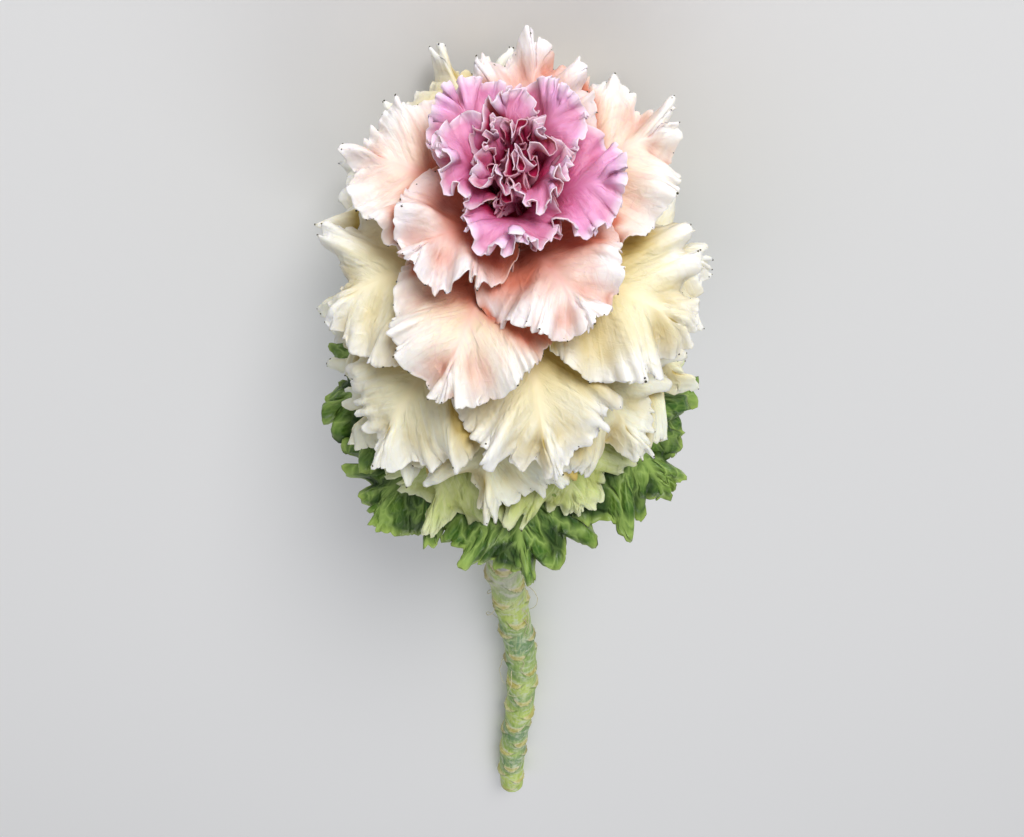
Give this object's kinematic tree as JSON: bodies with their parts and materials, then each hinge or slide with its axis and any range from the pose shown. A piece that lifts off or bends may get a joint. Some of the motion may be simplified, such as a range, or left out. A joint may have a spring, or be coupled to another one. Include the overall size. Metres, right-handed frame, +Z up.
{
  "type": "ornamental kale stem",
  "caption": "Ornamental kale cut as a flower stem: ruffled cream leaves round a pink heart, green leaves beneath and a bare knobbly stalk.",
  "frame": {"origin": "on the surface that the stem lies on, under the middle of its bounding box", "axes": "+Z up from the surface, +Y along the lying stem towards the cut end of the stalk, -Y towards the pink heart that the rosette faces, X across the head"},
  "size_m": [0.126, 0.556, 0.1034],
  "materials": {
    "stalk": "fresh green stalk, matt, with tan leaf scars",
    "green_leaf": "fresh dark green leaf with a soft waxy sheen",
    "lime_leaf": "fresh yellow-green leaf with pale veins, soft waxy sheen",
    "cream_leaf": "fresh cream leaf, matt to silky",
    "blush_leaf": "fresh pale pink leaf, matt to silky",
    "heart_leaf": "fresh magenta leaf, silky"
  },
  "bodies": {
    "root": {"stalk": "stalk", "green_leaves": "green_leaf", "lime_leaves": "lime_leaf", "cream_leaves": "cream_leaf", "blush_leaves": "blush_leaf", "heart_leaves": "heart_leaf"}
  },
  "joints": []
}
